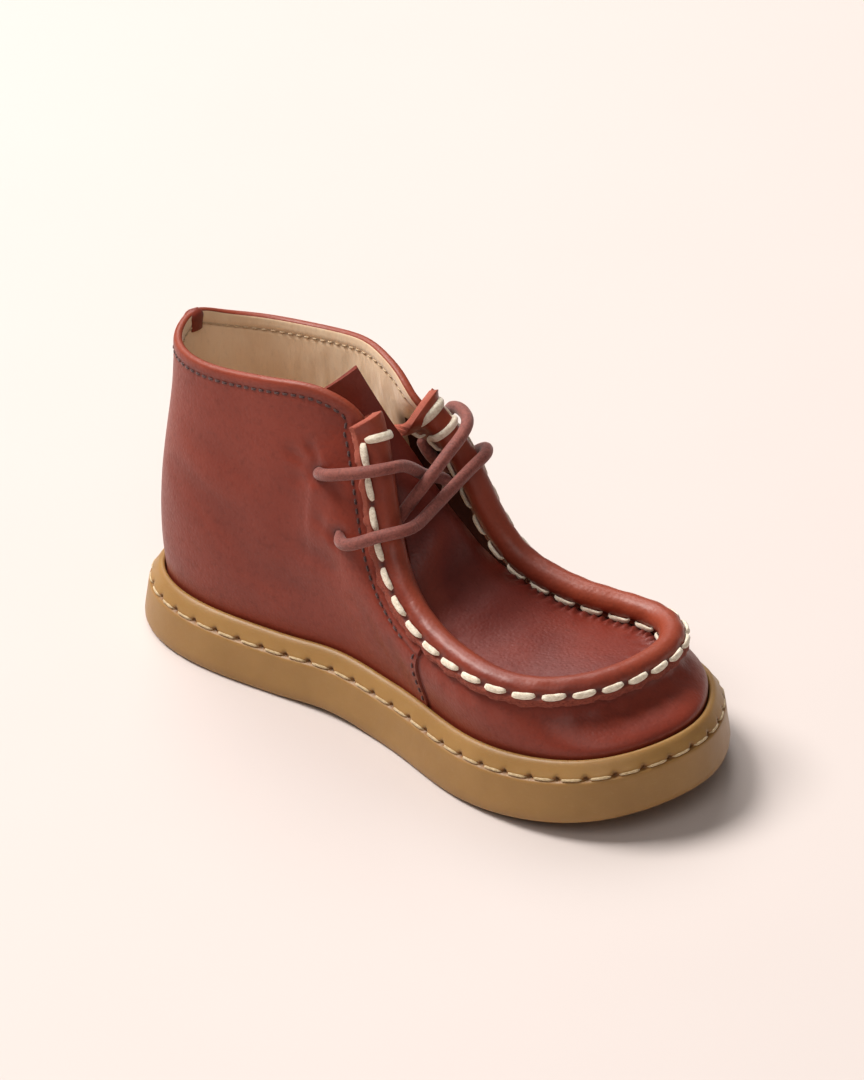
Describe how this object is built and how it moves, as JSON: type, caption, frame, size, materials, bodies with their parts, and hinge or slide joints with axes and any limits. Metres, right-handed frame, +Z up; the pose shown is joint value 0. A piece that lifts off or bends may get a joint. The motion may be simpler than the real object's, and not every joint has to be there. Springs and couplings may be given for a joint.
{
  "type": "derby shoe",
  "caption": "Small ankle-high leather derby with a raised moccasin apron seam, a cup sole of gum rubber and a round lace tucked into the throat, for the left foot.",
  "frame": {"origin": "on the floor under the middle of the heel's flat spot, which is the mount heel_rest", "axes": "+X from heel to toe along the foot, +Y to the lateral (outer) side, +Z up"},
  "size_m": [0.1499, 0.0644, 0.0748],
  "materials": {
    "sole_rubber": "moulded translucent gum rubber, satin",
    "insole_leather": "natural beige lining leather, matt",
    "upper_leather": "waxed chestnut leather, soft sheen",
    "strip_leather": "waxed chestnut leather with raw cut edges",
    "apron_leather": "smooth waxed chestnut leather, soft sheen",
    "lining_leather": "natural beige lining leather, matt",
    "raw_edge": "cut leather edge, matt",
    "lace_cord": "waxed round braided cord",
    "seam_thread": "thick cream thread",
    "fine_thread": "fine brown thread"
  },
  "bodies": {
    "root": {"outsole": "sole_rubber", "insole": "insole_leather", "upper": "upper_leather", "seam_strip": "strip_leather", "apron_tongue": "apron_leather", "lace_bar": "lace_cord", "lace_end_medial": "lace_cord", "lace_end_lateral": "lace_cord"}
  },
  "joints": []
}
